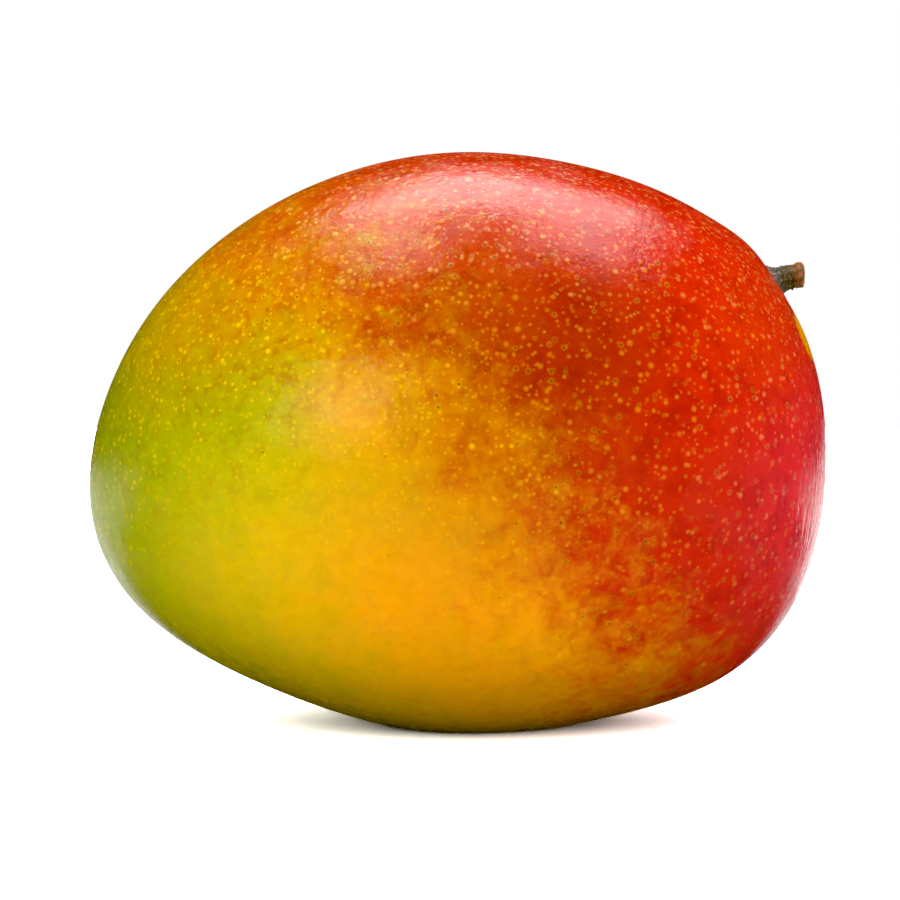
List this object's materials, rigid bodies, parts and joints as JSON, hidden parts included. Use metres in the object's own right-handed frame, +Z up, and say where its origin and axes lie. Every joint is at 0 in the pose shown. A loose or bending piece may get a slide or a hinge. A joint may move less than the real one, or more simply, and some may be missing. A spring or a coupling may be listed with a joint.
{
  "type": "mango",
  "caption": "Whole ripe mango with the woody stub of its stalk, resting on a small flat spot on its lower edge.",
  "frame": {"origin": "on the ground, under the middle of the whole box in X and Y", "axes": "+Z up, +X from the beak to the stem end, -Y and +Y out of the two broad cheeks"},
  "size_m": [0.1226, 0.0864, 0.0953],
  "materials": {
    "skin": "smooth waxy fruit skin, satin sheen, green-yellow at the beak to red at the stem end, with pale dots",
    "bark": "rough dry bark, dark brown-grey with an orange-brown broken tip"
  },
  "bodies": {
    "root": {"fruit": "skin", "stem": "bark"}
  },
  "joints": []
}
